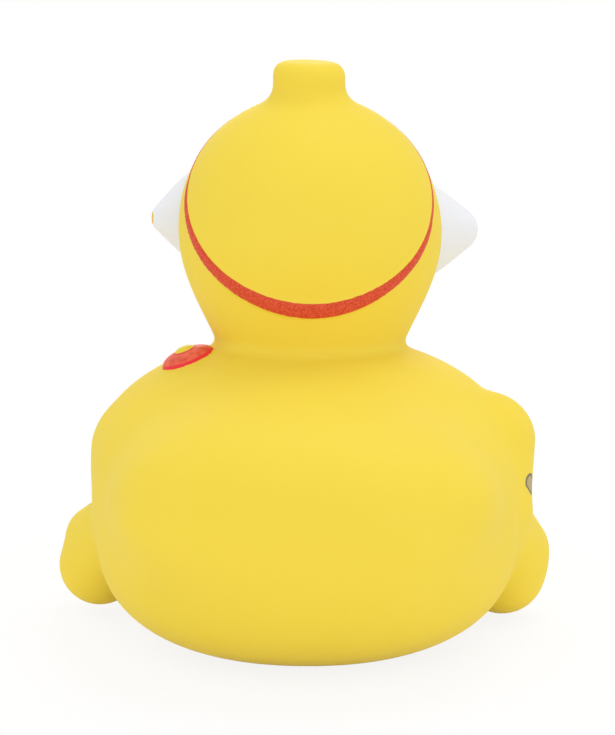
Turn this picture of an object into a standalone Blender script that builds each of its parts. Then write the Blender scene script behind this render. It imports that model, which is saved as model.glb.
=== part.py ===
"""Rubber duck: a hollow soft vinyl moulding with a flat base.

The duck faces -Y and stands on Z = 0. Its own left side is +X. Sizes below are in
millimetres, and the finished meshes are in metres.
"""
import bpy
import numpy as np

MILLIMETRE = 0.001

# Moulding
WALL = 2.4
VENT_DIAMETER = 3.2
VENT_FROM_MIDDLE = 0.0

# Body tub
BODY_WIDTH = 67.2
BODY_LENGTH = 71.0
BODY_HEIGHT = 42.0
BASE_TRIM = 1.8
PLAN_SQUARENESS = 2.15
SIDE_SQUARENESS = 2.75

# Shoulders and back
SHOULDER_WIDTH = 60.0
SHOULDER_LENGTH = 48.0
SHOULDER_DEPTH = 31.2
SHOULDER_TOP = 46.3
SHOULDER_FORWARD = 4.0
SHOULDER_OFFSET = 1.0
SHOULDER_LEAN = -1.2

# Tail ridge
TAIL_WIDTH = 53.0
TAIL_LENGTH = 30.0
TAIL_DEPTH = 25.0
TAIL_TOP = 39.6
TAIL_END = 39.5
TAIL_SQUARENESS = 2.1
BODY_BLEND = 10.0
TAIL_BLEND = 11.0

# Arms: inset from the body's side, distance forward, height above the base
RIGHT_SHOULDER = (5.4, 2.0, 30.3)
RIGHT_ELBOW = (4.9, -2.0, 20.5)
RIGHT_THUMB = (1.6, 7.0, 10.9)
RIGHT_FIST = (2.3, 7.0, 7.6)
LEFT_SHOULDER = (7.0, 2.0, 29.0)
LEFT_ELBOW = (6.8, -2.0, 19.5)
LEFT_THUMB = (-0.8, 9.0, 12.2)
LEFT_FIST = (-0.5, 9.0, 7.6)
RIGHT_ARM_RADII = (7.9, 6.6, 6.9, 7.0)
LEFT_ARM_RADII = (7.5, 6.5, 5.2, 6.6)
WRIST_RADIUS = 5.4
ARM_BLEND = 1.6
HOLLOW_ARM_BLEND = 4.0

# Head and neck
HEAD_WIDTH = 41.2
HEAD_LENGTH = 40.4
HEAD_HEIGHT = 39.6
HEAD_MIDDLE = 63.0
HEAD_FORWARD = 10.2
NECK_TOP_DIAMETER = 31.8
NECK_TOP_DROP = 6.0
NECK_FOOT_DIAMETER = 25.8
NECK_FOOT_HEIGHT = 38.0
NECK_TOP_BACK = -0.8
NECK_FOOT_BACK = 3.0
NECK_BLEND = 8.0
COLLAR_BLEND = 2.0

# Cap, its band and the knob on top
CAP_DIAMETER = 41.4
CAP_RISE = 0.7
CAP_BACK = 0.2
CAP_TILT = 48.5
BAND_FROM_MIDDLE = 8.1
BAND_WIDTH_NAPE = 2.3
BAND_WIDTH_TOP = 0.8
BAND_PROUD_NAPE = 0.5
BAND_PROUD_TOP = 0.1
EDGE_ROUND = 0.5
KNOB_DIAMETER = 11.4
KNOB_HEIGHT = 5.2
KNOB_EDGE = 2.5
KNOB_BLEND = 2.6
KNOB_SLANT = 0.03
HEAD_BLEND = 0.5

# Side cones
CONE_FORWARD = 7.0
CONE_SUNK = 1.8
CONE_ROOT_DEPTH = 8.0
CONE_ROOT_DIAMETER = 17.2
CONE_ROOT_ROUND = 1.8
LEFT_CONE_TIP_DIAMETER = 2.6
LEFT_CONE_TIP_ROUND = 0.5
LEFT_CONE_REACH = 4.9
LEFT_CONE_RISE = 0.7
LEFT_CONE_TIP_BACK = 1.6
RIGHT_CONE_TIP_DIAMETER = 3.6
RIGHT_CONE_TIP_ROUND = 1.5
RIGHT_CONE_REACH = 6.5
RIGHT_CONE_RISE = -1.2
RIGHT_CONE_TIP_BACK = -0.5
CONE_BLEND = 0.4

# Shoulder badge
BADGE_DIAMETER = 8.4
BADGE_THICKNESS = 1.6
BADGE_SIDE = 19.0
BADGE_FORWARD = 2.0
BUTTON_DIAMETER = 3.4
BUTTON_THICKNESS = 1.5

# Bill and eyes
BILL_WIDTH = 18.5
BILL_LENGTH = 11.5
BILL_THICKNESS = 6.0
BILL_DROP = 4.0
BRIDGE_WIDTH = 13.0
BRIDGE_LENGTH = 5.5
BRIDGE_THICKNESS = 11.0
LOWER_BILL_WIDTH = 14.0
LOWER_BILL_LENGTH = 8.0
LOWER_BILL_THICKNESS = 5.0
BILL_GAPE = 3.6
EYE_SPACING = 15.0
EYE_LIFT = 5.5
EYE_WIDTH = 6.4
EYE_HEIGHT = 9.0
EYE_PROUD = 0.5

# Mesh fineness
SKIN_STEP = 1.0
HOLLOW_STEP = 1.8
SKIN_TRIANGLES = 8200
HOLLOW_TRIANGLES = 2400
DETAIL_REACH = 0.25
DETAIL_WORTH = 15.0

YELLOW = (0.93, 0.66, 0.075, 1.0)
RED = (0.72, 0.065, 0.028, 1.0)
WHITE = (0.86, 0.86, 0.85, 1.0)
ORANGE = (0.88, 0.26, 0.02, 1.0)
BLACK = (0.012, 0.012, 0.012, 1.0)


# Distance fields of simple forms

def ellipsoid(points, centre, size, square=2.0):
    offset = points - np.asarray(centre, float)
    ratio = np.abs(offset / (np.asarray(size, float) / 2))
    reach = (ratio ** square).sum(axis=1) ** (1 / square) + 1e-9
    return np.linalg.norm(offset, axis=1) * (1 - 1 / reach)


def tub(points, centre, size, plan, side):
    offset = points - np.asarray(centre, float)
    ratio = np.abs(offset / (np.asarray(size, float) / 2))
    ring = (ratio[:, 0] ** plan + ratio[:, 1] ** plan) ** (1 / plan)
    reach = (ring ** side + ratio[:, 2] ** side) ** (1 / side) + 1e-9
    return np.linalg.norm(offset, axis=1) * (1 - 1 / reach)


def limb(points, start, end, start_radius, end_radius):
    start = np.asarray(start, float)
    axis = np.asarray(end, float) - start
    along = np.clip((points - start) @ axis / (axis @ axis), 0, 1)
    gap = np.linalg.norm(points - start - along[:, None] * axis, axis=1)
    return gap - start_radius - (end_radius - start_radius) * along


def join(first, second, blend):
    overlap = np.maximum(blend - np.abs(first - second), 0) / blend
    return np.minimum(first, second) - overlap ** 2 * blend / 4


def trim(first, second, blend):
    return -join(-first, -second, blend)


def turned(points, centre, right, ahead, up):
    offset = points - np.asarray(centre, float)
    return offset @ np.stack([right, ahead, up], axis=1)


def unit(vector):
    vector = np.asarray(vector, float)
    return vector / np.linalg.norm(vector)


def slope(field, points, reach=0.02):
    steps = np.eye(3) * reach
    rises = [field(points + step) - field(points - step) for step in steps]
    return np.stack(rises, axis=1) / (2 * reach)


def seat(field, start, direction):
    """Where a straight line from start first meets the form, and the form's outward normal there."""
    point = np.array([start], float)
    for _ in range(120):
        point = point + 0.7 * field(point)[:, None] * np.asarray(direction, float)
    return point[0], unit(slope(field, point)[0])


def disc(points, centre, normal, width, height, thickness):
    right = unit(np.cross((0, 0, 1), normal) + (1e-6, 0, 0))
    ahead = np.cross(normal, right)
    local = turned(points, centre, right, ahead, normal)
    return ellipsoid(local, (0, 0, 0), (width, height, thickness))


# The duck's own forms

HEAD = (-0.15, -HEAD_FORWARD, HEAD_MIDDLE)
CAP = (0.05, CAP_BACK - HEAD_FORWARD, HEAD_MIDDLE + CAP_RISE)
CAP_AXIS = unit((-0.038, np.sin(np.radians(CAP_TILT)), np.cos(np.radians(CAP_TILT))))
NAPE = unit(np.cross(CAP_AXIS, np.cross(CAP_AXIS, (0, 0, 1))) + (0.15, 0, 0))


def torso(points):
    middle = BODY_HEIGHT / 2 - BASE_TRIM
    size = (BODY_WIDTH, BODY_LENGTH, BODY_HEIGHT)
    form = tub(points, (0, 0, middle), size, PLAN_SQUARENESS, SIDE_SQUARENESS)
    lean = np.radians(SHOULDER_LEAN)
    right = (np.cos(lean), 0, np.sin(lean))
    up = (-np.sin(lean), 0, np.cos(lean))
    centre = (SHOULDER_OFFSET, -SHOULDER_FORWARD, SHOULDER_TOP - SHOULDER_DEPTH / 2)
    local = turned(points, centre, right, (0, 1, 0), up)
    size = (SHOULDER_WIDTH, SHOULDER_LENGTH, SHOULDER_DEPTH)
    shoulders = ellipsoid(local, (0, 0, 0), size)
    centre = (0, TAIL_END - TAIL_LENGTH / 2, TAIL_TOP - TAIL_DEPTH / 2)
    tail = ellipsoid(points, centre, (TAIL_WIDTH, TAIL_LENGTH, TAIL_DEPTH), TAIL_SQUARENESS)
    return join(join(form, shoulders, BODY_BLEND), tail, TAIL_BLEND)


def arm(points, side, shoulder, elbow, thumb, fist, radii):
    places = [(side * (BODY_WIDTH / 2 - inset), -forward, height)
              for inset, forward, height in (shoulder, elbow, thumb, fist)]
    upper = limb(points, places[0], places[1], radii[0], radii[1])
    thumb_lobe = limb(points, places[1], places[2], WRIST_RADIUS, radii[2])
    fist_lobe = limb(points, places[1], places[3], WRIST_RADIUS - 0.4, radii[3])
    return join(upper, join(thumb_lobe, fist_lobe, 1.5), 2.5)


def body(points, blend):
    right = arm(points, -1, RIGHT_SHOULDER, RIGHT_ELBOW, RIGHT_THUMB, RIGHT_FIST, RIGHT_ARM_RADII)
    left = arm(points, 1, LEFT_SHOULDER, LEFT_ELBOW, LEFT_THUMB, LEFT_FIST, LEFT_ARM_RADII)
    return join(join(torso(points), right, blend), left, blend)


def face(points):
    skull = ellipsoid(points, HEAD, (HEAD_WIDTH, HEAD_LENGTH, HEAD_HEIGHT))
    top = (-0.3, NECK_TOP_BACK - HEAD_FORWARD, HEAD_MIDDLE - NECK_TOP_DROP)
    foot = (-0.2, NECK_FOOT_BACK - HEAD_FORWARD, NECK_FOOT_HEIGHT)
    neck = limb(points, top, foot, NECK_TOP_DIAMETER / 2, NECK_FOOT_DIAMETER / 2)
    return join(skull, neck, NECK_BLEND)


def cap(points):
    dome = ellipsoid(points, CAP, (CAP_DIAMETER,) * 3)
    crown = CAP[2] + CAP_DIAMETER / 2
    foot = (0, CAP[1], CAP[2])
    end = (0, CAP[1], crown + 2 * KNOB_HEIGHT)
    knob = limb(points, foot, end, KNOB_DIAMETER / 2, KNOB_DIAMETER / 2)
    slant = (points[:, 2] - crown - KNOB_HEIGHT) - KNOB_SLANT * points[:, 0]
    return join(dome, trim(knob, slant, KNOB_EDGE), KNOB_BLEND)


def nape_share(points):
    """One at the nape, falling to nought at the sides and over the top."""
    offset = points - CAP
    return np.clip(offset @ NAPE / (np.linalg.norm(offset, axis=1) + 1e-9), 0, 1)


def band_ring(points):
    """The slice of the head that the band lies on, deepest at the nape."""
    below = BAND_FROM_MIDDLE - (points - CAP) @ CAP_AXIS
    width = BAND_WIDTH_TOP + (BAND_WIDTH_NAPE - BAND_WIDTH_TOP) * nape_share(points) ** 0.8
    return np.maximum(below - width, -below)


def band(points):
    """The raised band round the cap, almost flush over the top."""
    head = join(face(points), cap(points), HEAD_BLEND)
    proud = BAND_PROUD_TOP + (BAND_PROUD_NAPE - BAND_PROUD_TOP) * nape_share(points) ** 0.5
    return trim(head - proud, band_ring(points), EDGE_ROUND)


def side_cone(points, side, reach, rise, tip_back, tip_diameter, tip_round):
    """A cone with a flat end, its root sunk in the side of the head."""
    sideways = HEAD_WIDTH / 2 - CONE_SUNK
    root = np.array((side * sideways, -HEAD_FORWARD - CONE_FORWARD, HEAD_MIDDLE + rise))
    tip = root + (side * (CONE_SUNK + reach), tip_back, 0)
    length = np.linalg.norm(tip - root)
    axis = (tip - root) / length
    along = (points - root) @ axis
    radius = np.linalg.norm(points - root - along[:, None] * axis, axis=1)
    taper = (CONE_ROOT_DIAMETER - tip_diameter) / 2 / length
    narrowing = taper * (along + np.hypot(along, CONE_ROOT_ROUND)) / 2
    flank = radius - CONE_ROOT_DIAMETER / 2 + narrowing
    ends = np.maximum(along - length, -along - CONE_ROOT_DEPTH)
    return trim(flank / np.hypot(1, taper), ends, tip_round)


def cones(points):
    left = side_cone(points, 1, LEFT_CONE_REACH, LEFT_CONE_RISE, LEFT_CONE_TIP_BACK,
                     LEFT_CONE_TIP_DIAMETER, LEFT_CONE_TIP_ROUND)
    right = side_cone(points, -1, RIGHT_CONE_REACH, RIGHT_CONE_RISE, RIGHT_CONE_TIP_BACK,
                      RIGHT_CONE_TIP_DIAMETER, RIGHT_CONE_TIP_ROUND)
    return np.minimum(left, right)


BADGE_SEAT, BADGE_NORMAL = seat(torso, (BADGE_SIDE, -BADGE_FORWARD, 2 * BODY_HEIGHT), (0, 0, -1))


def badge(points):
    return disc(points, BADGE_SEAT, BADGE_NORMAL, BADGE_DIAMETER, BADGE_DIAMETER, 2 * BADGE_THICKNESS)


def button(points):
    centre = BADGE_SEAT + BADGE_NORMAL * (BADGE_THICKNESS - 0.3)
    return disc(points, centre, BADGE_NORMAL, BUTTON_DIAMETER, BUTTON_DIAMETER, BUTTON_THICKNESS)


def eyes(points):
    """Two low ovals that follow the face."""
    across = (np.abs(points[:, 0]) - EYE_SPACING / 2) / (EYE_WIDTH / 2)
    upward = (points[:, 2] - HEAD_MIDDLE - EYE_LIFT) / (EYE_HEIGHT / 2)
    outline = (np.hypot(across, upward) - 1) * EYE_WIDTH / 2
    behind = points[:, 1] + HEAD_FORWARD
    return trim(face(points) - EYE_PROUD, np.maximum(outline, behind), EDGE_ROUND)


def bill(points):
    root = -HEAD_FORWARD - HEAD_LENGTH / 2 + 1.0
    height = HEAD_MIDDLE - BILL_DROP
    upper = ellipsoid(points, (0, root, height), (BILL_WIDTH, 2 * BILL_LENGTH, BILL_THICKNESS), 2.2)
    bridge = ellipsoid(points, (0, root, height), (BRIDGE_WIDTH, 2 * BRIDGE_LENGTH, BRIDGE_THICKNESS))
    size = (LOWER_BILL_WIDTH, 2 * LOWER_BILL_LENGTH, LOWER_BILL_THICKNESS)
    lower = ellipsoid(points, (0, root, height - BILL_GAPE), size, 2.2)
    return join(join(upper, bridge, 4.0), lower, 0.5)


def moulding(points, arm_blend=ARM_BLEND):
    """The outside without its thin raised details, which the hollow inside follows."""
    head = join(face(points), cap(points), HEAD_BLEND)
    head = join(head, cones(points), CONE_BLEND)
    head = join(head, bill(points), 1.2)
    return join(head, body(points, arm_blend), COLLAR_BLEND)


def duck(points):
    form = join(moulding(points), band(points), 0.4)
    form = join(form, eyes(points), 0.4)
    form = join(form, badge(points), 0.5)
    return join(form, button(points), 0.2)


def hollow(points):
    return moulding(points, HOLLOW_ARM_BLEND) + WALL


# Meshes from the fields

def fill_pinches(value, depth):
    """Fills the grid squares whose solid corners would meet only across the diagonal."""
    for _ in range(40):
        found = False
        for first, second in ((0, 1), (0, 2), (1, 2)):
            corners = []
            for ends in ((0, 0), (0, 1), (1, 1), (1, 0)):
                part = [slice(None)] * 3
                part[first] = slice(ends[0], value.shape[first] - 1 + ends[0])
                part[second] = slice(ends[1], value.shape[second] - 1 + ends[1])
                corners.append(value[tuple(part)])
            solid = [corner < 0 for corner in corners]
            pinched = (solid[0] == solid[2]) & (solid[1] == solid[3]) & (solid[0] != solid[1])
            for corner in corners:
                corner[pinched & (corner >= 0)] = -depth
            found = found or pinched.any()
        if not found:
            return


def skin(field, low, high, step):
    """Four-sided faces round everything where the field is below zero."""
    low = np.asarray(low, float)
    counts = np.ceil((np.asarray(high, float) - low) / step).astype(int) + 1
    lines = [low[k] + step * np.arange(counts[k]) for k in range(3)]
    grid = np.stack(np.meshgrid(*lines, indexing="ij"), axis=-1).reshape(-1, 3)
    value = np.concatenate([field(chunk) for chunk in np.array_split(grid, len(grid) // 100000 + 1)])
    value = value.reshape(counts)
    fill_pinches(value, 0.1 * step)

    cells = counts - 1
    total = np.zeros(tuple(cells) + (3,))
    hits = np.zeros(cells)
    crossings = []
    for axis in range(3):
        ends = [slice(None)] * 3
        starts = [slice(None)] * 3
        ends[axis] = slice(1, None)
        starts[axis] = slice(None, -1)
        first = value[tuple(starts)]
        second = value[tuple(ends)]
        crossed = (first < 0) != (second < 0)
        index = np.argwhere(crossed)
        share = first[crossed] / (first[crossed] - second[crossed])
        place = low + step * index
        place[:, axis] += step * share
        crossings.append((axis, index, first[crossed] < 0))
        others = [k for k in range(3) if k != axis]
        for back in ((0, 0), (0, 1), (1, 0), (1, 1)):
            cell = index.copy()
            cell[:, others[0]] -= back[0]
            cell[:, others[1]] -= back[1]
            np.add.at(total, tuple(cell.T), place)
            np.add.at(hits, tuple(cell.T), 1)

    used = hits > 0
    number = np.full(cells, -1)
    number[used] = np.arange(used.sum())
    vertices = total[used] / hits[used][:, None]

    faces = []
    for axis, index, outward in crossings:
        second, third = (axis + 1) % 3, (axis + 2) % 3
        corners = []
        for back in ((1, 1), (0, 1), (0, 0), (1, 0)):
            cell = index.copy()
            cell[:, second] -= back[0]
            cell[:, third] -= back[1]
            corners.append(number[tuple(cell.T)])
        quads = np.stack(corners, axis=1)
        quads[~outward] = quads[~outward][:, ::-1]
        faces.append(quads)
    return settle(field, vertices, step), np.concatenate(faces)


def settle(field, vertices, step):
    """Moves each vertex straight onto the field's surface."""
    for _ in range(4):
        gradient = slope(field, vertices)
        length = np.maximum((gradient ** 2).sum(axis=1), 0.1)
        move = -gradient * (field(vertices) / length)[:, None]
        reach = np.maximum(np.linalg.norm(move, axis=1) / (0.5 * step), 1)
        vertices = vertices + move / reach[:, None]
    return vertices


def plastic(name, colour, roughness):
    material = bpy.data.materials.new(name)
    material.use_nodes = True
    shader = material.node_tree.nodes["Principled BSDF"]
    shader.inputs["Base Color"].default_value = colour
    shader.inputs["Roughness"].default_value = roughness
    shader.inputs["Metallic"].default_value = 0.0
    material.diffuse_color = colour
    return material


def mesh_object(name, vertices, faces, materials):
    mesh = bpy.data.meshes.new(name)
    mesh.from_pydata((vertices * MILLIMETRE).tolist(), [], faces.tolist())
    mesh.shade_smooth()
    for material in materials:
        mesh.materials.append(material)
    made = bpy.data.objects.new(name, mesh)
    bpy.context.scene.collection.objects.link(made)
    return made


def thin_out(target, faces, wanted):
    modifier = target.modifiers.new("thin_out", "DECIMATE")
    modifier.ratio = min(1.0, wanted / (2 * len(faces)))
    modifier.use_collapse_triangulate = True
    return modifier


def keep_detail(target, modifier, points):
    """Leaves more triangles along the band, eyes, badge and button than on the plain skin."""
    edges = [np.abs(field(points)) for field in (band, eyes, badge, button)]
    near = np.min(edges, axis=0) < DETAIL_REACH
    group = target.vertex_groups.new(name="plain_skin")
    group.add(np.flatnonzero(~near).tolist(), 1.0, "REPLACE")
    group.add(np.flatnonzero(near).tolist(), 0.05, "REPLACE")
    modifier.vertex_group = group.name
    modifier.vertex_group_factor = DETAIL_WORTH


def cut_away(target, cutter):
    modifier = target.modifiers.new(cutter.name, "BOOLEAN")
    modifier.operation = "DIFFERENCE"
    modifier.solver = "EXACT"
    modifier.object = cutter
    cutter.hide_render = True
    cutter.display_type = "WIRE"


def block(name, low, high):
    x, y, z = zip(low, high)
    corners = np.array([(a, b, c) for c in z for b in y for a in x], float)
    sides = [(0, 2, 3, 1), (4, 5, 7, 6), (0, 1, 5, 4), (1, 3, 7, 5), (3, 2, 6, 7), (2, 0, 4, 6)]
    return mesh_object(name, corners, np.array(sides), [])


def post(name, centre, diameter, low, high, sides=24):
    angles = 2 * np.pi * np.arange(sides) / sides
    ring = np.stack([np.cos(angles), np.sin(angles)], axis=1) * diameter / 2 + centre
    vertices = np.concatenate([np.c_[ring, np.full(sides, low)], np.c_[ring, np.full(sides, high)]])
    walls = [(k, (k + 1) % sides, sides + (k + 1) % sides, sides + k) for k in range(sides)]
    made_faces = walls + [tuple(range(sides))[::-1], tuple(range(sides, 2 * sides))]
    mesh = bpy.data.meshes.new(name)
    mesh.from_pydata((vertices * MILLIMETRE).tolist(), [], made_faces)
    made = bpy.data.objects.new(name, mesh)
    bpy.context.scene.collection.objects.link(made)
    return made


def painted(points):
    """Which material each point of the outside wears."""
    near = 0.35
    colour = np.zeros(len(points), int)
    off_head = join(face(points), cap(points), HEAD_BLEND) > near
    colour[band(points) < 0.15] = 1
    colour[(cones(points) < near) & off_head] = 2
    colour[(bill(points) < near) & off_head] = 3
    colour[eyes(points) < 0.15] = 4
    colour[badge(points) < 0.15] = 1
    colour[button(points) < 0.1] = 0
    return colour


for old in list(bpy.data.objects):
    bpy.data.objects.remove(old, do_unlink=True)

half_width = BODY_WIDTH / 2 + 12
front = -HEAD_FORWARD - HEAD_LENGTH / 2 - BILL_LENGTH - 4
rear = max(TAIL_END, BODY_LENGTH / 2) + 4
top = CAP[2] + CAP_DIAMETER / 2 + KNOB_HEIGHT + 4
low = (-half_width, min(front, -BODY_LENGTH / 2 - 4), -BASE_TRIM - 3)
high = (half_width, rear, top)

outer_vertices, outer_faces = skin(duck, low, high, SKIN_STEP)
inner_vertices, inner_faces = skin(hollow, low, high, HOLLOW_STEP)

above = outer_vertices[outer_vertices[:, 2] > 0]
middle = (above.min(axis=0) + above.max(axis=0)) / 2
shift = np.array([middle[0], middle[1], 0])

yellow = plastic("yellow_vinyl", YELLOW, 0.42)
paints = [yellow, plastic("red_paint", RED, 0.5), plastic("white_paint", WHITE, 0.45),
          plastic("orange_paint", ORANGE, 0.4), plastic("black_paint", BLACK, 0.25)]

duck_body = mesh_object("duck_body", outer_vertices - shift, outer_faces, paints)
centres = outer_vertices[outer_faces].mean(axis=1)
duck_body.data.polygons.foreach_set("material_index", painted(centres))
inside = mesh_object("inside", inner_vertices - shift, inner_faces, [yellow])

reach = 200.0
ground = block("ground", (-reach, -reach, -reach), (reach, reach, 0.0))
floor_inside = block("floor_inside", (-reach, -reach, -reach), (reach, reach, WALL))
vent = post("vent", (0, VENT_FROM_MIDDLE), VENT_DIAMETER, -2.0, WALL + 2.0)

thin_out(inside, inner_faces, HOLLOW_TRIANGLES)
cut_away(inside, floor_inside)
inside.hide_render = True
inside.display_type = "WIRE"

keep_detail(duck_body, thin_out(duck_body, outer_faces, SKIN_TRIANGLES), outer_vertices)
cut_away(duck_body, ground)
cut_away(duck_body, inside)
cut_away(duck_body, vent)
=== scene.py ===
"""Dresses the rubber duck: a fine skin over the moulding, painted vinyl, soft studio light.

The duck faces -Y, stands on Z = 0 and has its own left side at +X. Its sizes are in
millimetres. The floor, the lamps and the camera are placed in metres.
"""

import bmesh
import bpy
import numpy as np
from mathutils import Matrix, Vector


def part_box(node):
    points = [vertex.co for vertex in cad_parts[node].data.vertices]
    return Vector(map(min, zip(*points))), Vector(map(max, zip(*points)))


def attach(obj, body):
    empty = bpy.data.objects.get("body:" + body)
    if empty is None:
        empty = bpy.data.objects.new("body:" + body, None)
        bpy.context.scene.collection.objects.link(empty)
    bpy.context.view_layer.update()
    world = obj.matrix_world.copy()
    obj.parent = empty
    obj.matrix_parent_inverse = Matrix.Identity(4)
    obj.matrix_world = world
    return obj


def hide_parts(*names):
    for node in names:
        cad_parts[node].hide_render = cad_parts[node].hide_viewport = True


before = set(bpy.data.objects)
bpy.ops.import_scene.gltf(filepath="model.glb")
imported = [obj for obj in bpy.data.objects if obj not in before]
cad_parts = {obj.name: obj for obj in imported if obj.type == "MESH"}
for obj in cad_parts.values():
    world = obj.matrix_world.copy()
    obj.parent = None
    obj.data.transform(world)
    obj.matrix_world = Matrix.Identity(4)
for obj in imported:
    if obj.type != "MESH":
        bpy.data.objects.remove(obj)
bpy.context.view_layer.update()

MILLIMETRE = 0.001

# Fineness of the skin, and the room round the duck in which it is looked for
SKIN_STEP = 0.56
ROOM = 4.0
ROOM_BESIDE = 12.0
ROOM_BELOW = 3.0

# Painted marks
BAND_PAINT_REACH = 0.35
TIP_DIAMETER = 2.0
BADGE_PAINT_SPREAD = 0.15
BADGE_PAINT_DEPTH = 6.0
BUTTON_PAINT_INSET = 0.05
BILL_PAINT_INSET = 0.2
RIM_WIDTH = 0.30
RIM_GAP = 0.03
DROP_BACK = 2.9
DROP_BREADTH = 1.1
DROP_HEIGHT = 24.5
DROP_LENGTH = 3.6
DROP_RADIUS = 1.6
DROP_POINT_RADIUS = 0.15
DROP_LINE = 0.45
DROP_SIDE = -20.0
GLINT_RADIUS = 0.9
GLINT_SIDE = 0.9
GLINT_LIFT = 2.0
FAR_OUTSIDE = 20.0
MARK_REACH = 5.0

# Height on the duck that the camera aims at
AIM_HEIGHT = 42.5

# Vent in the base
VENT_DIAMETER = 3.2
VENT_DEPTH = 9.0
VENT_SIDES = 48
# Heights in the air hole over which the vinyl is darkened as painted shade
VENT_SHADE_FROM = 0.2
VENT_SHADE_TO = VENT_DEPTH + 1.0
BASE_EDGE_ROUND = 0.8
BASE_CUT_HEIGHT = 0.02

# Body tub
BODY_WIDTH = 67.2
BODY_LENGTH = 71.0
BODY_HEIGHT = 42.0
BASE_TRIM = 1.8
PLAN_SQUARENESS = 2.15
SIDE_SQUARENESS = 2.75

# Shoulders and back
SHOULDER_WIDTH = 60.0
SHOULDER_LENGTH = 48.0
SHOULDER_DEPTH = 31.2
SHOULDER_TOP = 46.3
SHOULDER_FORWARD = 4.0
SHOULDER_OFFSET = 1.0
SHOULDER_LEAN = -1.2

# Tail ridge
TAIL_WIDTH = 53.0
TAIL_LENGTH = 30.0
TAIL_DEPTH = 25.0
TAIL_TOP = 39.6
TAIL_END = 39.5
TAIL_SQUARENESS = 2.1
BODY_BLEND = 10.0
TAIL_BLEND = 11.0

# Arms: inset from the body's side, distance forward, height above the base
RIGHT_SHOULDER = (5.4, 2.0, 30.3)
RIGHT_ELBOW = (4.9, -2.0, 20.5)
RIGHT_THUMB = (1.6, 7.0, 10.9)
RIGHT_FIST = (2.3, 7.0, 7.6)
LEFT_SHOULDER = (7.0, 2.0, 29.0)
LEFT_ELBOW = (6.8, -2.0, 19.5)
LEFT_THUMB = (-0.8, 9.0, 12.2)
LEFT_FIST = (-0.5, 9.0, 7.6)
RIGHT_ARM_RADII = (7.9, 6.6, 6.9, 7.0)
LEFT_ARM_RADII = (7.5, 6.5, 5.2, 6.6)
WRIST_RADIUS = 5.4
FIST_WRIST_THINNER = 0.4
HAND_BLEND = 1.5
ELBOW_BLEND = 2.5
ARM_BLEND = 1.6

# Head and neck
HEAD_WIDTH = 41.2
HEAD_LENGTH = 40.4
HEAD_HEIGHT = 39.6
HEAD_MIDDLE = 63.0
HEAD_FORWARD = 10.2
HEAD_ASIDE = -0.15
NECK_TOP_DIAMETER = 31.8
NECK_TOP_DROP = 6.0
NECK_TOP_ASIDE = -0.3
NECK_FOOT_ASIDE = -0.2
NECK_FOOT_DIAMETER = 25.8
NECK_FOOT_HEIGHT = 38.0
NECK_TOP_BACK = -0.8
NECK_FOOT_BACK = 3.0
NECK_BLEND = 8.0
COLLAR_BLEND = 2.0

# Cap, its band and the knob on top
CAP_DIAMETER = 41.4
CAP_RISE = 0.7
CAP_BACK = 0.2
CAP_ASIDE = 0.05
CAP_TILT = 48.5
CAP_LEAN = -0.038
NAPE_LEAN = 0.15
BAND_FROM_MIDDLE = 8.1
BAND_WIDTH_NAPE = 2.3
BAND_WIDTH_TOP = 0.8
BAND_WIDTH_POWER = 0.8
BAND_PROUD_NAPE = 0.5
BAND_PROUD_TOP = 0.1
BAND_PROUD_POWER = 0.5
BAND_BLEND = 0.4
EDGE_ROUND = 0.5
KNOB_DIAMETER = 11.4
KNOB_HEIGHT = 5.2
KNOB_EDGE = 2.5
KNOB_BLEND = 2.6
KNOB_SLANT = 0.03
HEAD_BLEND = 0.5

# Side cones
CONE_FORWARD = 7.0
CONE_SUNK = 1.8
CONE_ROOT_DEPTH = 8.0
CONE_ROOT_DIAMETER = 17.2
CONE_ROOT_ROUND = 1.8
LEFT_CONE_TIP_DIAMETER = 2.6
LEFT_CONE_TIP_ROUND = 0.5
LEFT_CONE_REACH = 4.9
LEFT_CONE_RISE = 0.7
LEFT_CONE_TIP_BACK = 1.6
RIGHT_CONE_TIP_DIAMETER = 3.6
RIGHT_CONE_TIP_ROUND = 1.5
RIGHT_CONE_REACH = 6.5
RIGHT_CONE_RISE = -1.2
RIGHT_CONE_TIP_BACK = -0.5
CONE_BLEND = 0.4

# Shoulder badge
BADGE_DIAMETER = 8.4
BADGE_THICKNESS = 1.6
BADGE_BLEND = 0.5
BADGE_SIDE = 19.0
BADGE_FORWARD = 2.0
BUTTON_DIAMETER = 3.4
BUTTON_THICKNESS = 1.5
BUTTON_SUNK = 0.3
BUTTON_BLEND = 0.2

# Bill and eyes
BILL_WIDTH = 18.5
BILL_LENGTH = 11.5
BILL_THICKNESS = 6.0
BILL_DROP = 4.0
BILL_SUNK = 1.0
BILL_SQUARENESS = 2.2
BILL_BLEND = 1.2
BRIDGE_WIDTH = 13.0
BRIDGE_LENGTH = 5.5
BRIDGE_THICKNESS = 11.0
BRIDGE_BLEND = 4.0
LOWER_BILL_WIDTH = 14.0
LOWER_BILL_LENGTH = 8.0
LOWER_BILL_THICKNESS = 5.0
BILL_GAPE = 3.6
GAPE_BLEND = 0.5
EYE_SPACING = 15.0
EYE_LIFT = 5.5
EYE_WIDTH = 6.4
EYE_HEIGHT = 9.0
EYE_PROUD = 0.5
EYE_BLEND = 0.4

# Guards against dividing by nought
TINY = 1e-9
TINY_TURN = 1e-6

# Grid points worked out at one time
POINTS_AT_ONCE = 100000


# Distance fields of simple forms

def ellipsoid(points, centre, size, square=2.0):
    offset = points - np.asarray(centre, float)
    ratio = np.abs(offset / (np.asarray(size, float) / 2))
    reach = (ratio ** square).sum(axis=1) ** (1 / square) + TINY
    return np.linalg.norm(offset, axis=1) * (1 - 1 / reach)


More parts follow.
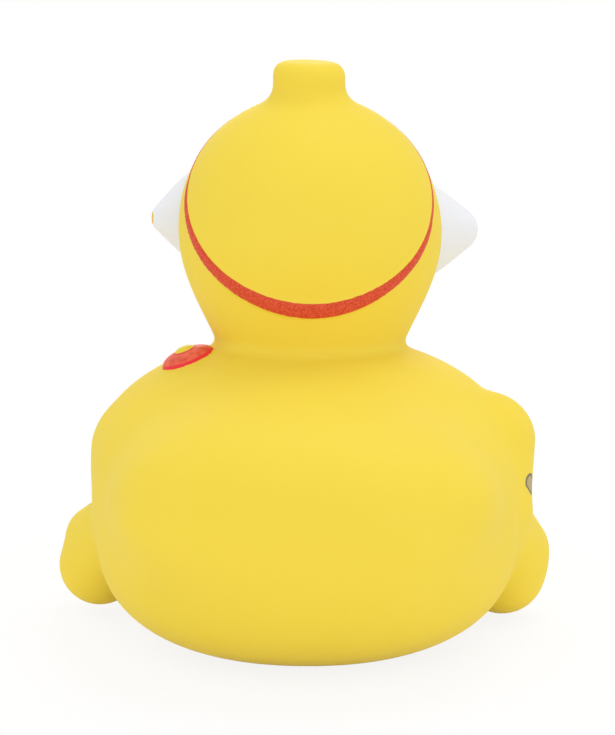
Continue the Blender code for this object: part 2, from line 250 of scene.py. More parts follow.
def tub(points, centre, size, plan, side):
    offset = points - np.asarray(centre, float)
    ratio = np.abs(offset / (np.asarray(size, float) / 2))
    ring = (ratio[:, 0] ** plan + ratio[:, 1] ** plan) ** (1 / plan)
    reach = (ring ** side + ratio[:, 2] ** side) ** (1 / side) + TINY
    return np.linalg.norm(offset, axis=1) * (1 - 1 / reach)


def limb(points, start, end, start_radius, end_radius):
    start = np.asarray(start, float)
    axis = np.asarray(end, float) - start
    along = np.clip((points - start) @ axis / (axis @ axis), 0, 1)
    gap = np.linalg.norm(points - start - along[:, None] * axis, axis=1)
    return gap - start_radius - (end_radius - start_radius) * along


def join(first, second, blend):
    overlap = np.maximum(blend - np.abs(first - second), 0) / blend
    return np.minimum(first, second) - overlap ** 2 * blend / 4


def trim(first, second, blend):
    return -join(-first, -second, blend)


def turned(points, centre, right, ahead, up):
    offset = points - np.asarray(centre, float)
    return offset @ np.stack([right, ahead, up], axis=1)


def unit(vector):
    vector = np.asarray(vector, float)
    return vector / np.linalg.norm(vector)


def slope(field, points, reach=0.02):
    steps = np.eye(3) * reach
    rises = [field(points + step) - field(points - step) for step in steps]
    return np.stack(rises, axis=1) / (2 * reach)


def seat(field, start, direction, steps=120, pace=0.7):
    """Where a straight line from start first meets the form, and the form's outward normal there."""
    point = np.array([start], float)
    for _ in range(steps):
        point = point + pace * field(point)[:, None] * np.asarray(direction, float)
    return point[0], unit(slope(field, point)[0])


def laid_flat(points, centre, normal):
    """The points turned about centre, so that the normal there points straight up."""
    right = unit(np.cross((0, 0, 1), normal) + (TINY_TURN, 0, 0))
    return turned(points, centre, right, np.cross(normal, right), normal)


def disc(points, centre, normal, diameter, thickness):
    local = laid_flat(points, centre, normal)
    return ellipsoid(local, (0, 0, 0), (diameter, diameter, thickness))


# The duck's own forms

HEAD = (HEAD_ASIDE, -HEAD_FORWARD, HEAD_MIDDLE)
CAP = (CAP_ASIDE, CAP_BACK - HEAD_FORWARD, HEAD_MIDDLE + CAP_RISE)
CAP_AXIS = unit((CAP_LEAN, np.sin(np.radians(CAP_TILT)), np.cos(np.radians(CAP_TILT))))
NAPE = unit(np.cross(CAP_AXIS, np.cross(CAP_AXIS, (0, 0, 1))) + (NAPE_LEAN, 0, 0))


def torso(points):
    middle = BODY_HEIGHT / 2 - BASE_TRIM
    size = (BODY_WIDTH, BODY_LENGTH, BODY_HEIGHT)
    form = tub(points, (0, 0, middle), size, PLAN_SQUARENESS, SIDE_SQUARENESS)
    lean = np.radians(SHOULDER_LEAN)
    right = (np.cos(lean), 0, np.sin(lean))
    up = (-np.sin(lean), 0, np.cos(lean))
    centre = (SHOULDER_OFFSET, -SHOULDER_FORWARD, SHOULDER_TOP - SHOULDER_DEPTH / 2)
    local = turned(points, centre, right, (0, 1, 0), up)
    size = (SHOULDER_WIDTH, SHOULDER_LENGTH, SHOULDER_DEPTH)
    shoulders = ellipsoid(local, (0, 0, 0), size)
    centre = (0, TAIL_END - TAIL_LENGTH / 2, TAIL_TOP - TAIL_DEPTH / 2)
    tail = ellipsoid(points, centre, (TAIL_WIDTH, TAIL_LENGTH, TAIL_DEPTH), TAIL_SQUARENESS)
    return join(join(form, shoulders, BODY_BLEND), tail, TAIL_BLEND)


def arm(points, side, shoulder, elbow, thumb, fist, radii):
    places = [(side * (BODY_WIDTH / 2 - inset), -forward, height)
              for inset, forward, height in (shoulder, elbow, thumb, fist)]
    upper = limb(points, places[0], places[1], radii[0], radii[1])
    thumb_lobe = limb(points, places[1], places[2], WRIST_RADIUS, radii[2])
    fist_lobe = limb(points, places[1], places[3], WRIST_RADIUS - FIST_WRIST_THINNER, radii[3])
    return join(upper, join(thumb_lobe, fist_lobe, HAND_BLEND), ELBOW_BLEND)


def body(points):
    right = arm(points, -1, RIGHT_SHOULDER, RIGHT_ELBOW, RIGHT_THUMB, RIGHT_FIST, RIGHT_ARM_RADII)
    left = arm(points, 1, LEFT_SHOULDER, LEFT_ELBOW, LEFT_THUMB, LEFT_FIST, LEFT_ARM_RADII)
    return join(join(torso(points), right, ARM_BLEND), left, ARM_BLEND)


def face(points):
    skull = ellipsoid(points, HEAD, (HEAD_WIDTH, HEAD_LENGTH, HEAD_HEIGHT))
    top = (NECK_TOP_ASIDE, NECK_TOP_BACK - HEAD_FORWARD, HEAD_MIDDLE - NECK_TOP_DROP)
    foot = (NECK_FOOT_ASIDE, NECK_FOOT_BACK - HEAD_FORWARD, NECK_FOOT_HEIGHT)
    neck = limb(points, top, foot, NECK_TOP_DIAMETER / 2, NECK_FOOT_DIAMETER / 2)
    return join(skull, neck, NECK_BLEND)


def cap(points):
    dome = ellipsoid(points, CAP, (CAP_DIAMETER,) * 3)
    crown = CAP[2] + CAP_DIAMETER / 2
    foot = (0, CAP[1], CAP[2])
    end = (0, CAP[1], crown + 2 * KNOB_HEIGHT)
    knob = limb(points, foot, end, KNOB_DIAMETER / 2, KNOB_DIAMETER / 2)
    slant = (points[:, 2] - crown - KNOB_HEIGHT) - KNOB_SLANT * points[:, 0]
    return join(dome, trim(knob, slant, KNOB_EDGE), KNOB_BLEND)


def nape_share(points):
    """One at the nape, falling to nought at the sides and over the top."""
    offset = points - CAP
    return np.clip(offset @ NAPE / (np.linalg.norm(offset, axis=1) + TINY), 0, 1)


def band_ring(points):
    """The slice of the head that the band lies on, deepest at the nape."""
    below = BAND_FROM_MIDDLE - (points - CAP) @ CAP_AXIS
    share = nape_share(points) ** BAND_WIDTH_POWER
    width = BAND_WIDTH_TOP + (BAND_WIDTH_NAPE - BAND_WIDTH_TOP) * share
    return np.maximum(below - width, -below)


def band(points):
    """The raised band round the cap, almost flush over the top."""
    head = join(face(points), cap(points), HEAD_BLEND)
    share = nape_share(points) ** BAND_PROUD_POWER
    proud = BAND_PROUD_TOP + (BAND_PROUD_NAPE - BAND_PROUD_TOP) * share
    return trim(head - proud, band_ring(points), EDGE_ROUND)


def side_cone(points, side, reach, rise, tip_back, tip_diameter, tip_round):
    """A cone with a flat end, its root sunk in the side of the head."""
    sideways = HEAD_WIDTH / 2 - CONE_SUNK
    root = np.array((side * sideways, -HEAD_FORWARD - CONE_FORWARD, HEAD_MIDDLE + rise))
    tip = root + (side * (CONE_SUNK + reach), tip_back, 0)
    length = np.linalg.norm(tip - root)
    axis = (tip - root) / length
    along = (points - root) @ axis
    radius = np.linalg.norm(points - root - along[:, None] * axis, axis=1)
    taper = (CONE_ROOT_DIAMETER - tip_diameter) / 2 / length
    narrowing = taper * (along + np.hypot(along, CONE_ROOT_ROUND)) / 2
    flank = radius - CONE_ROOT_DIAMETER / 2 + narrowing
    ends = np.maximum(along - length, -along - CONE_ROOT_DEPTH)
    return trim(flank / np.hypot(1, taper), ends, tip_round)


def cones(points):
    left = side_cone(points, 1, LEFT_CONE_REACH, LEFT_CONE_RISE, LEFT_CONE_TIP_BACK,
                     LEFT_CONE_TIP_DIAMETER, LEFT_CONE_TIP_ROUND)
    right = side_cone(points, -1, RIGHT_CONE_REACH, RIGHT_CONE_RISE, RIGHT_CONE_TIP_BACK,
                      RIGHT_CONE_TIP_DIAMETER, RIGHT_CONE_TIP_ROUND)
    return np.minimum(left, right)


BADGE_SEAT, BADGE_NORMAL = seat(torso, (BADGE_SIDE, -BADGE_FORWARD, 2 * BODY_HEIGHT), (0, 0, -1))


def badge(points):
    return disc(points, BADGE_SEAT, BADGE_NORMAL, BADGE_DIAMETER, 2 * BADGE_THICKNESS)


def button(points):
    centre = BADGE_SEAT + BADGE_NORMAL * (BADGE_THICKNESS - BUTTON_SUNK)
    return disc(points, centre, BADGE_NORMAL, BUTTON_DIAMETER, BUTTON_THICKNESS)


def eye_outline(points):
    """Below zero inside two ovals that run front to back through the head."""
    across = (np.abs(points[:, 0]) - EYE_SPACING / 2) / (EYE_WIDTH / 2)
    upward = (points[:, 2] - HEAD_MIDDLE - EYE_LIFT) / (EYE_HEIGHT / 2)
    return (np.hypot(across, upward) - 1) * EYE_WIDTH / 2


def eyes(points):
    """Two low ovals that follow the face."""
    behind = points[:, 1] + HEAD_FORWARD
    return trim(face(points) - EYE_PROUD, np.maximum(eye_outline(points), behind), EDGE_ROUND)


def bill(points):
    root = -HEAD_FORWARD - HEAD_LENGTH / 2 + BILL_SUNK
    height = HEAD_MIDDLE - BILL_DROP
    size = (BILL_WIDTH, 2 * BILL_LENGTH, BILL_THICKNESS)
    upper = ellipsoid(points, (0, root, height), size, BILL_SQUARENESS)
    size = (BRIDGE_WIDTH, 2 * BRIDGE_LENGTH, BRIDGE_THICKNESS)
    bridge = ellipsoid(points, (0, root, height), size)
    size = (LOWER_BILL_WIDTH, 2 * LOWER_BILL_LENGTH, LOWER_BILL_THICKNESS)
    lower = ellipsoid(points, (0, root, height - BILL_GAPE), size, BILL_SQUARENESS)
    return join(join(upper, bridge, BRIDGE_BLEND), lower, GAPE_BLEND)


def moulding(points):
    """The outside without its thin raised details."""
    head = join(face(points), cap(points), HEAD_BLEND)
    head = join(head, cones(points), CONE_BLEND)
    head = join(head, bill(points), BILL_BLEND)
    return join(head, body(points), COLLAR_BLEND)


def duck(points):
    form = join(moulding(points), band(points), BAND_BLEND)
    form = join(form, eyes(points), EYE_BLEND)
    form = join(form, badge(points), BADGE_BLEND)
    return join(form, button(points), BUTTON_BLEND)


# Meshes from the fields

def fill_pinches(value, depth, passes=40):
    """Fills the grid squares whose solid corners would meet only across the diagonal."""
    for _ in range(passes):
        found = False
        for first, second in ((0, 1), (0, 2), (1, 2)):
            corners = []
            for ends in ((0, 0), (0, 1), (1, 1), (1, 0)):
                part = [slice(None)] * 3
                part[first] = slice(ends[0], value.shape[first] - 1 + ends[0])
                part[second] = slice(ends[1], value.shape[second] - 1 + ends[1])
                corners.append(value[tuple(part)])
            solid = [corner < 0 for corner in corners]
            pinched = (solid[0] == solid[2]) & (solid[1] == solid[3]) & (solid[0] != solid[1])
            for corner in corners:
                corner[pinched & (corner >= 0)] = -depth
            found = found or pinched.any()
        if not found:
            return


def skin(field, low, high, step):
    """Four-sided faces round everything where the field is below zero."""
    low = np.asarray(low, float)
    counts = np.ceil((np.asarray(high, float) - low) / step).astype(int) + 1
    lines = [low[k] + step * np.arange(counts[k]) for k in range(3)]
    grid = np.stack(np.meshgrid(*lines, indexing="ij"), axis=-1).reshape(-1, 3)
    chunks = np.array_split(grid, len(grid) // POINTS_AT_ONCE + 1)
    value = np.concatenate([field(chunk) for chunk in chunks]).reshape(counts)
    fill_pinches(value, 0.1 * step)

    cells = counts - 1
    total = np.zeros(tuple(cells) + (3,))
    hits = np.zeros(cells)
    crossings = []
    for axis in range(3):
        ends = [slice(None)] * 3
        starts = [slice(None)] * 3
        ends[axis] = slice(1, None)
        starts[axis] = slice(None, -1)
        first = value[tuple(starts)]
        second = value[tuple(ends)]
        crossed = (first < 0) != (second < 0)
        index = np.argwhere(crossed)
        share = first[crossed] / (first[crossed] - second[crossed])
        place = low + step * index
        place[:, axis] += step * share
        crossings.append((axis, index, first[crossed] < 0))
        others = [k for k in range(3) if k != axis]
        for back in ((0, 0), (0, 1), (1, 0), (1, 1)):
            cell = index.copy()
            cell[:, others[0]] -= back[0]
            cell[:, others[1]] -= back[1]
            np.add.at(total, tuple(cell.T), place)
            np.add.at(hits, tuple(cell.T), 1)

    used = hits > 0
    number = np.full(cells, -1)
    number[used] = np.arange(used.sum())
    vertices = total[used] / hits[used][:, None]

    faces = []
    for axis, index, outward in crossings:
        second, third = (axis + 1) % 3, (axis + 2) % 3
        corners = []
        for back in ((1, 1), (0, 1), (0, 0), (1, 0)):
            cell = index.copy()
            cell[:, second] -= back[0]
            cell[:, third] -= back[1]
            corners.append(number[tuple(cell.T)])
        quads = np.stack(corners, axis=1)
        quads[~outward] = quads[~outward][:, ::-1]
        faces.append(quads)
    return settle(field, vertices, step), np.concatenate(faces)


def settle(field, vertices, step, rounds=4):
    """Moves each vertex onto the field's surface, by half a step at most in each round."""
    for _ in range(rounds):
        gradient = slope(field, vertices)
        length = np.maximum((gradient ** 2).sum(axis=1), 0.1)
        move = -gradient * (field(vertices) / length)[:, None]
        reach = np.maximum(np.linalg.norm(move, axis=1) / (0.5 * step), 1)
        vertices = vertices + move / reach[:, None]
    return vertices


# Painted marks, each as a distance in millimetres that is below zero inside the paint

def paint_band(points):
    return np.maximum(band_ring(points), band(points) - BAND_PAINT_REACH)


def paint_cones(points):
    return cones(points) - join(face(points), cap(points), HEAD_BLEND)


def paint_tips(points):
    """A disc of paint on the flat end of the left cone."""
    height = HEAD_MIDDLE + LEFT_CONE_RISE
    back = LEFT_CONE_TIP_BACK - HEAD_FORWARD - CONE_FORWARD
    tip = np.array((HEAD_WIDTH / 2 + LEFT_CONE_REACH, back, height))
    return np.linalg.norm(points - tip, axis=1) - TIP_DIAMETER / 2


def badge_radius(points):
    """Distance from the badge's axis, for points near its seat."""
    local = laid_flat(points, BADGE_SEAT, BADGE_NORMAL)
    radius = np.hypot(local[:, 0], local[:, 1])
    return radius + FAR_OUTSIDE * (np.abs(local[:, 2]) > BADGE_PAINT_DEPTH)


def paint_badge(points):
    return badge_radius(points) - BADGE_DIAMETER / 2 - BADGE_PAINT_SPREAD


def paint_button(points):
    return badge_radius(points) - BUTTON_DIAMETER / 2 + BUTTON_PAINT_INSET


def drop(points, grow):
    """A round-topped drop with its point down, painted on the outside of the right arm."""
    flat = (points - (0, DROP_BACK, DROP_HEIGHT)) * (0, 1 / DROP_BREADTH, 1)
    top = (0, 0, DROP_LENGTH / 2 - DROP_RADIUS)
    foot = (0, 0, -DROP_LENGTH / 2)
    away = FAR_OUTSIDE * (points[:, 0] > DROP_SIDE)
    return limb(flat, top, foot, DROP_RADIUS, DROP_POINT_RADIUS) - grow + away


def paint_drop(points):
    return drop(points, 0.0)


def paint_drop_middle(points):
    return drop(points, -DROP_LINE)


def paint_bill(points):
    return bill(points) - face(points) + BILL_PAINT_INSET


def behind_face(points):
    """Keeps a mark that is drawn through the head off the back of it."""
    return FAR_OUTSIDE * (points[:, 1] > -HEAD_FORWARD)


def paint_eyes(points):
    return eye_outline(points) + behind_face(points)


def paint_glints(points):
    across = np.abs(points[:, 0]) - EYE_SPACING / 2 + GLINT_SIDE
    upward = points[:, 2] - HEAD_MIDDLE - EYE_LIFT - GLINT_LIFT
    return np.hypot(across, upward) - GLINT_RADIUS + behind_face(points)


MARKS = {
    "band": paint_band,
    "cones": paint_cones,
    "tips": paint_tips,
    "badge": paint_badge,
    "button": paint_button,
    "drop": paint_drop,
    "drop_middle": paint_drop_middle,
    "bill": paint_bill,
    "eyes": paint_eyes,
    "glints": paint_glints,
}


# The duck's skin

def stood_duck(points):
    """The duck with its underside rounded into the flat base."""
    return trim(duck(points), -points[:, 2], BASE_EDGE_ROUND)


def skin_limits():
    """The low and high corners of the room in which the skin is looked for."""
    beside = BODY_WIDTH / 2 + ROOM_BESIDE
    bill_tip = -HEAD_FORWARD - HEAD_LENGTH / 2 - BILL_LENGTH
    front = min(bill_tip, -BODY_LENGTH / 2) - ROOM
    rear = max(TAIL_END, BODY_LENGTH / 2) + ROOM
    top = CAP[2] + CAP_DIAMETER / 2 + KNOB_HEIGHT + ROOM
    return (-beside, front, -ROOM_BELOW), (beside, rear, top)


def edges_among(items):
    return [item for item in items if isinstance(item, bmesh.types.BMEdge)]


def open_base(work):
    """Cuts the skin off at the floor and leaves the cut edge at Z = 0."""
    everything = work.verts[:] + work.edges[:] + work.faces[:]
    height = BASE_CUT_HEIGHT * MILLIMETRE
    cut = bmesh.ops.bisect_plane(work, geom=everything, plane_co=(0, 0, height), plane_no=(0, 0, -1),
                                 clear_outer=True, dist=1e-7)
    rim = edges_among(cut["geom_cut"])
    for vertex in {corner for edge in rim for corner in edge.verts}:
        vertex.co.z = 0.0
    return rim


def add_vent(work, rim):
    """Closes the base round its air hole, which runs up to a blind end."""
    radius = VENT_DIAMETER / 2 * MILLIMETRE
    circle = bmesh.ops.create_circle(work, cap_ends=False, segments=VENT_SIDES, radius=radius)
    mouth = list(dict.fromkeys(edge for vertex in circle["verts"] for edge in vertex.link_edges))
    bmesh.ops.triangle_fill(work, use_beauty=True, edges=rim + mouth, normal=(0, 0, -1))
    wall = bmesh.ops.extrude_edge_only(work, edges=mouth)["geom"]
    raised = [item for item in wall if isinstance(item, bmesh.types.BMVert)]
    bmesh.ops.translate(work, verts=raised, vec=(0, 0, VENT_DEPTH * MILLIMETRE))
    bmesh.ops.contextual_create(work, geom=edges_among(wall))


def vented_mesh(name, vertices, faces):
    mesh = bpy.data.meshes.new(name)
    mesh.from_pydata((vertices * MILLIMETRE).tolist(), [], faces.tolist())
    work = bmesh.new()
    work.from_mesh(mesh)
    add_vent(work, open_base(work))
    bmesh.ops.recalc_face_normals(work, faces=work.faces[:])
    work.to_mesh(mesh)
    work.free()
    return mesh


def fit_to_cad(vertices):
    """The move and stretch that bring the fine skin onto the CAD solid's box."""
    lowest, highest = (np.array(corner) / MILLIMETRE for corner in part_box("duck_body"))
    low, high = vertices.min(axis=0), vertices.max(axis=0)
    low[2] = 0.0
    stretch = (highest - lowest) / (high - low)
    return lowest - low * stretch, stretch


def store(mesh, name, values):
    layer = mesh.attributes.new(name, "FLOAT", "POINT")
    layer.data.foreach_set("value", values.astype(np.float32))


def store_marks(mesh, points):
    """Keeps each mark's distance on the mesh, where the paint reads it, and where painted shade
    darkens the air hole in the base.
    """
    for name, distance in MARKS.items():
        store(mesh, name, np.clip(distance(points), -MARK_REACH, MARK_REACH))
    # The walls of the air hole in the base, where painted shade darkens the vinyl
    inside = np.hypot(points[:, 0], points[:, 1]) < VENT_DIAMETER
    inside &= (points[:, 2] > VENT_SHADE_FROM) & (points[:, 2] < VENT_SHADE_TO)
    store(mesh, "vent", inside)


skin_vertices, skin_faces = skin(stood_duck, *skin_limits(), SKIN_STEP)
place, stretch = fit_to_cad(skin_vertices)

skin_mesh = vented_mesh("duck_skin", skin_vertices, skin_faces)
flat = np.empty(len(skin_mesh.vertices) * 3)
skin_mesh.vertices.foreach_get("co", flat)
made_points = flat.reshape(-1, 3) / MILLIMETRE
store_marks(skin_mesh, made_points)
skin_mesh.vertices.foreach_set("co", ((made_points * stretch + place) * MILLIMETRE).ravel())
skin_mesh.update()
skin_mesh.shade_smooth()

duck_skin = bpy.data.objects.new("duck_skin", skin_mesh)
bpy.context.scene.collection.objects.link(duck_skin)


# Painted vinyl

# Softness and unevenness of the paint's edges, in millimetres
EDGE_SOFT = 0.04
LINE_SOFT = 0.05
UNEVEN = 0.02
BARELY_UNEVEN = 0.01

# Fineness of the noise, in spots to the metre
EDGE_GRAIN = 900.0
BAND_GRAIN = 3200.0
BADGE_CLOUDS = 700.0
VINYL_CLOUDS = 28.0
VINYL_SHEEN = 60.0
VINYL_GRAIN = 2600.0
VINYL_RIPPLE = 130.0

# Height of the relief, in metres
GRAIN_HEIGHT = 0.000012
RIPPLE_HEIGHT = 0.00008
COAT_HEIGHT = 0.00004

YELLOW = (0.89, 0.680, 0.070, 1.0)
YELLOW_DEEP = (0.88, 0.668, 0.064, 1.0)
RED = (0.60, 0.058, 0.022, 1.0)
RED_PALE = (0.78, 0.11, 0.05, 1.0)
BADGE_RED = (0.88, 0.15, 0.085, 1.0)
BADGE_DEEP = (0.70, 0.08, 0.04, 1.0)
RIM_RED = (0.86, 0.04, 0.055, 1.0)
BUTTON_YELLOW = (0.84, 0.68, 0.05, 1.0)
WHITE = (0.82, 0.83, 0.86, 1.0)
TIP_YELLOW = (0.84, 0.50, 0.008, 1.0)
DROP_GREY = (0.48, 0.38, 0.19, 1.0)
DROP_DARK = (0.19, 0.16, 0.10, 1.0)
ORANGE = (0.86, 0.26, 0.015, 1.0)
BLACK = (0.010, 0.010, 0.011, 1.0)
# Painted shade for the walls of the air hole in the base
VENT_PAINTED_SHADE = (0.10, 0.07, 0.01, 1.0)

VINYL_ROUGHNESS = 0.56
VINYL_ROUGHER = 0.64
PAINT_ROUGHNESS = 0.42
BAND_ROUGHNESS = 0.50
DROP_ROUGHNESS = 0.45
BILL_ROUGHNESS = 0.36
EYE_ROUGHNESS = 0.18
GLINT_ROUGHNESS = 0.25


class Paintbox:
    """Builds one material as a chain of paint layers over the bare vinyl."""

    def __init__(self, name):
        self.material = bpy.data.materials.new(name)
        self.material.use_nodes = True
        self.tree = self.material.node_tree
        self.shader = self.tree.nodes["Principled BSDF"]
        self.places = self.node("ShaderNodeTexCoord").outputs["Object"]

    def node(self, kind, **settings):
        made_node = self.tree.nodes.new(kind)
        for key, value in settings.items():
            setattr(made_node, key, value)
        return made_node

    def link(self, source, target):
        self.tree.links.new(source, target)

    def noise(self, scale, detail=2.0, roughness=0.5):
        texture = self.node("ShaderNodeTexNoise")
        texture.inputs["Scale"].default_value = scale
        texture.inputs["Detail"].default_value = detail
        texture.inputs["Roughness"].default_value = roughness
        self.link(self.places, texture.inputs["Vector"])
        return texture.outputs["Fac"]

    def math(self, operation, first, second):
        maths = self.node("ShaderNodeMath", operation=operation)
        for socket, value in zip(maths.inputs, (first, second)):
            if isinstance(value, (int, float)):
                socket.default_value = value
            else:
                self.link(value, socket)
        return maths.outputs[0]

    def ramp(self, source, low, high, low_value=0.0, high_value=1.0, smooth=False):
        mapping = self.node("ShaderNodeMapRange")
        mapping.interpolation_type = "SMOOTHSTEP" if smooth else "LINEAR"
        limits = {"From Min": low, "From Max": high, "To Min": low_value, "To Max": high_value}
        for key, value in limits.items():
            mapping.inputs[key].default_value = value
        self.link(source, mapping.inputs["Value"])
        return mapping.outputs["Result"]

    def mask(self, mark, soft=EDGE_SOFT, wobble=0.0):
        """One inside the painted mark and nought outside, with a slightly uneven edge."""
        distance = self.node("ShaderNodeAttribute", attribute_name=mark).outputs["Fac"]
        if wobble:
            uneven = self.ramp(self.noise(EDGE_GRAIN), 0.25, 0.75, -wobble, wobble)
            distance = self.math("ADD", distance, uneven)
        return self.ramp(distance, -soft, soft, 1.0, 0.0, smooth=True)

    def line(self, mark, inner, outer):
        """One along the edge of a painted mark, between two distances from it."""
        distance = self.node("ShaderNodeAttribute", attribute_name=mark).outputs["Fac"]
        rise = self.ramp(distance, inner - LINE_SOFT, inner + LINE_SOFT, smooth=True)
        fall = self.ramp(distance, outer - LINE_SOFT, outer + LINE_SOFT, 1.0, 0.0, smooth=True)
        return self.math("MULTIPLY", rise, fall)

    def mix(self, factor, first, second):
        blend = self.node("ShaderNodeMix", data_type="RGBA")
        self.link(factor, blend.inputs["Factor"])
        for key, value in (("A", first), ("B", second)):
            socket = [item for item in blend.inputs if item.name == key and item.type == "RGBA"][0]
            if isinstance(value, tuple):
                socket.default_value = value
            else:
                self.link(value, socket)
        return [item for item in blend.outputs if item.type == "RGBA"][0]

    def mix_value(self, factor, first, second):
        return self.math("ADD", self.math("MULTIPLY", first, self.math("SUBTRACT", 1.0, factor)),
                         self.math("MULTIPLY", second, factor))


def paint_layers(box):
    """Each mark's cover, colour and roughness, from the lowest coat to the highest."""
    band_grain = box.ramp(box.noise(BAND_GRAIN, detail=3.0, roughness=0.65), 0.40, 0.60)
    band_red = box.mix(band_grain, RED, RED_PALE)
    badge_clouds = box.ramp(box.noise(BADGE_CLOUDS), 0.45, 0.7)
    badge_red = box.mix(badge_clouds, BADGE_RED, BADGE_DEEP)
    return [
        (box.mask("band", wobble=UNEVEN), band_red, BAND_ROUGHNESS),
        (box.mask("cones", wobble=UNEVEN), WHITE, PAINT_ROUGHNESS),
        (box.mask("tips", wobble=UNEVEN), TIP_YELLOW, PAINT_ROUGHNESS),
        (box.mask("badge", wobble=BARELY_UNEVEN), badge_red, PAINT_ROUGHNESS),
        (box.line("badge", -RIM_WIDTH, -RIM_GAP), RIM_RED, PAINT_ROUGHNESS),
        (box.line("button", 0.0, RIM_WIDTH), RIM_RED, PAINT_ROUGHNESS),
        (box.mask("button", wobble=BARELY_UNEVEN), BUTTON_YELLOW, PAINT_ROUGHNESS),
        (box.mask("drop", soft=LINE_SOFT), DROP_DARK, DROP_ROUGHNESS),
        (box.mask("drop_middle", soft=LINE_SOFT), DROP_GREY, DROP_ROUGHNESS),
        (box.mask("bill", wobble=UNEVEN), ORANGE, BILL_ROUGHNESS),
        (box.mask("eyes"), BLACK, EYE_ROUGHNESS),
        (box.mask("glints"), WHITE, GLINT_ROUGHNESS),
    ]


def vinyl_relief(box, covered):
    """Fine grain, slow ripples and the thickness of the paint."""
    grain = box.math("MULTIPLY", box.noise(VINYL_GRAIN), GRAIN_HEIGHT)
    ripple = box.math("MULTIPLY", box.noise(VINYL_RIPPLE), RIPPLE_HEIGHT)
    coat = box.math("MULTIPLY", covered, COAT_HEIGHT)
    return box.math("ADD", box.math("ADD", grain, ripple), coat)


def painted_vinyl():
    box = Paintbox("painted_vinyl")
    clouds = box.ramp(box.noise(VINYL_CLOUDS, detail=3.0), 0.35, 0.65)
    colour = box.mix(clouds, YELLOW, YELLOW_DEEP)
    sheen = box.noise(VINYL_SHEEN, detail=4.0)
    roughness = box.ramp(sheen, 0.3, 0.7, VINYL_ROUGHNESS, VINYL_ROUGHER)
    covered = None
    for cover, paint, paint_roughness in paint_layers(box):
        colour = box.mix(cover, colour, paint)
        roughness = box.mix_value(cover, roughness, paint_roughness)
        covered = cover if covered is None else box.math("MAXIMUM", covered, cover)
    # Painted shade darkens the walls of the air hole in the base
    in_vent = box.node("ShaderNodeAttribute", attribute_name="vent").outputs["Fac"]
    colour = box.mix(in_vent, colour, VENT_PAINTED_SHADE)

    box.link(colour, box.shader.inputs["Base Color"])
    box.link(roughness, box.shader.inputs["Roughness"])
    box.shader.inputs["Subsurface Weight"].default_value = 0.12
    box.shader.inputs["Subsurface Radius"].default_value = (1.0, 0.6, 0.1)
    box.shader.inputs["Subsurface Scale"].default_value = 0.0015
    box.shader.inputs["Specular IOR Level"].default_value = 0.14

    bump = box.node("ShaderNodeBump")
    bump.inputs["Strength"].default_value = 0.6
    bump.inputs["Distance"].default_value = 1.0
    box.link(vinyl_relief(box, covered), bump.inputs["Height"])
    box.link(bump.outputs["Normal"], box.shader.inputs["Normal"])
    return box.material


duck_skin.data.materials.append(painted_vinyl())
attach(duck_skin, "root")
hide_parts("duck_body")


# Floor, light and camera

FLOOR_HALF = 4.0
FLOOR_SINK = 0.00005
FLOOR_WHITE = (0.96, 0.96, 0.96, 1.0)
GLOW_FROM = 0.03
GLOW_TO = 0.20
GLOW_UNDER_DUCK = 0.86
WORLD_LEVEL = 0.90


def white_when_seen(tree, surface, glow):
    """Adds a glow that only the camera and glossy surfaces see."""
    light_path = tree.nodes.new("ShaderNodeLightPath")
    seen = tree.nodes.new("ShaderNodeMath")
    seen.operation = "MAXIMUM"
    tree.links.new(light_path.outputs["Is Camera Ray"], seen.inputs[0])
    tree.links.new(light_path.outputs["Is Glossy Ray"], seen.inputs[1])
    share = tree.nodes.new("ShaderNodeMath")
    share.operation = "MULTIPLY"
    tree.links.new(seen.outputs[0], share.inputs[0])
    tree.links.new(glow, share.inputs[1])
    shine = tree.nodes.new("ShaderNodeEmission")
    shine.inputs["Strength"].default_value = 1.0
    both = tree.nodes.new("ShaderNodeMixShader")
    tree.links.new(share.outputs[0], both.inputs["Fac"])
    tree.links.new(surface, both.inputs[1])
    tree.links.new(shine.outputs[0], both.inputs[2])
    return both.outputs[0]


def glow_away_from_duck(tree):
    """A share of glow that rises to the whole as the floor runs out from under the duck."""
    places = tree.nodes.new("ShaderNodeTexCoord")
    away = tree.nodes.new("ShaderNodeVectorMath")
    away.operation = "LENGTH"
    tree.links.new(places.outputs["Object"], away.inputs[0])
    glow = tree.nodes.new("ShaderNodeMapRange")
    glow.interpolation_type = "SMOOTHSTEP"
    glow.inputs["From Min"].default_value = GLOW_FROM
    glow.inputs["From Max"].default_value = GLOW_TO
    glow.inputs["To Min"].default_value = GLOW_UNDER_DUCK
    glow.inputs["To Max"].default_value = 1.0
    tree.links.new(away.outputs["Value"], glow.inputs["Value"])
    return glow.outputs["Result"]


def floor_white():
    material = bpy.data.materials.new("floor_white")
    material.use_nodes = True
    tree = material.node_tree
    shader = tree.nodes["Principled BSDF"]
    shader.inputs["Base Color"].default_value = FLOOR_WHITE
    shader.inputs["Roughness"].default_value = 0.9
    shader.inputs["Specular IOR Level"].default_value = 0.0
    surface = white_when_seen(tree, shader.outputs[0], glow_away_from_duck(tree))
    tree.links.new(surface, tree.nodes["Material Output"].inputs["Surface"])
    return material


def make_floor():
    floor_mesh = bpy.data.meshes.new("floor")
    corners = [(x * FLOOR_HALF, y * FLOOR_HALF, 0) for x, y in ((-1, -1), (1, -1), (1, 1), (-1, 1))]
    floor_mesh.from_pydata(corners, [], [(0, 1, 2, 3)])
    floor_mesh.materials.append(floor_white())
    floor = bpy.data.objects.new("floor", floor_mesh)
    floor.location.z = -FLOOR_SINK
    bpy.context.scene.collection.objects.link(floor)


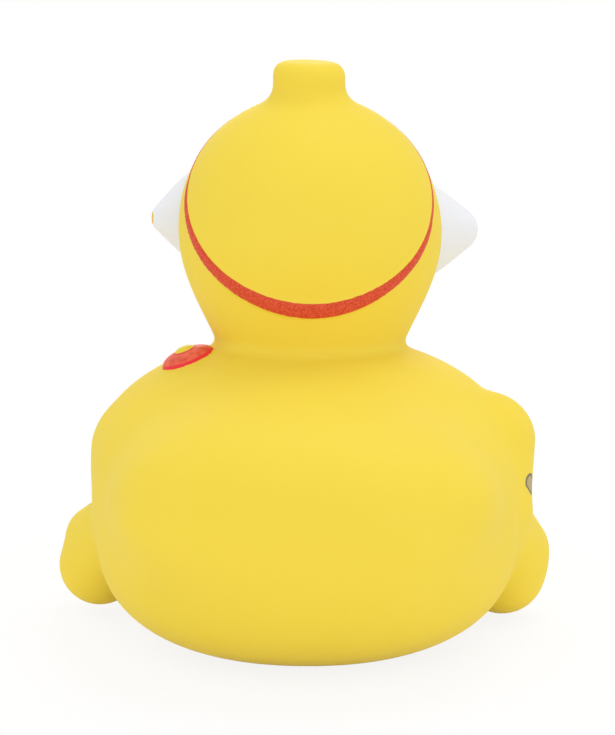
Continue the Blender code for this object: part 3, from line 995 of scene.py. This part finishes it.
def make_world():
    world = bpy.data.worlds.new("studio")
    bpy.context.scene.world = world
    world.use_nodes = True
    tree = world.node_tree
    backdrop = tree.nodes["Background"]
    backdrop.inputs["Color"].default_value = (1.0, 1.0, 1.0, 1.0)
    light_path = tree.nodes.new("ShaderNodeLightPath")
    level = tree.nodes.new("ShaderNodeMapRange")
    level.inputs["To Min"].default_value = WORLD_LEVEL
    level.inputs["To Max"].default_value = 1.0
    tree.links.new(light_path.outputs["Is Camera Ray"], level.inputs["Value"])
    tree.links.new(level.outputs["Result"], backdrop.inputs["Strength"])


def make_lamp(name, place_at, aim_at, size, power):
    light = bpy.data.lights.new(name, "AREA")
    light.shape = "DISK"
    light.size = size
    light.energy = power
    lamp = bpy.data.objects.new(name, light)
    lamp.location = place_at
    lamp.rotation_euler = (Vector(aim_at) - Vector(place_at)).to_track_quat("-Z", "Y").to_euler()
    bpy.context.scene.collection.objects.link(lamp)


def make_camera(azimuth, elevation, distance, lens, aim_at):
    """A camera on a sphere round aim_at. Azimuth 0 looks at the duck's face."""
    turn, lift = np.radians(azimuth), np.radians(elevation)
    back = Vector((np.sin(turn) * np.cos(lift), -np.cos(turn) * np.cos(lift), np.sin(lift)))
    camera_data = bpy.data.cameras.new("camera")
    camera_data.sensor_width = 36.0
    camera_data.lens = lens
    camera = bpy.data.objects.new("camera", camera_data)
    camera.location = Vector(aim_at) + back * distance
    camera.rotation_euler = back.to_track_quat("Z", "Y").to_euler()
    bpy.context.scene.collection.objects.link(camera)
    bpy.context.scene.camera = camera


make_floor()
make_world()

aim = ((np.array([0.0, 0.0, AIM_HEIGHT]) * stretch + place) * MILLIMETRE).tolist()
make_lamp("softbox", (-0.15, -0.12, 0.75), (0, 0, 0.04), size=0.4, power=1.0)
make_lamp("front_fill", (0.04, -0.8, 0.22), (0, 0, 0.04), size=0.4, power=0.8)
make_lamp("low_fill", (-0.05, 0.9, 0.03), (0, 0, 0.02), size=0.5, power=1.2)
make_camera(azimuth=181.5, elevation=12.0, distance=0.450, lens=140.0, aim_at=aim)

scene = bpy.context.scene
scene.view_settings.view_transform = "Standard"
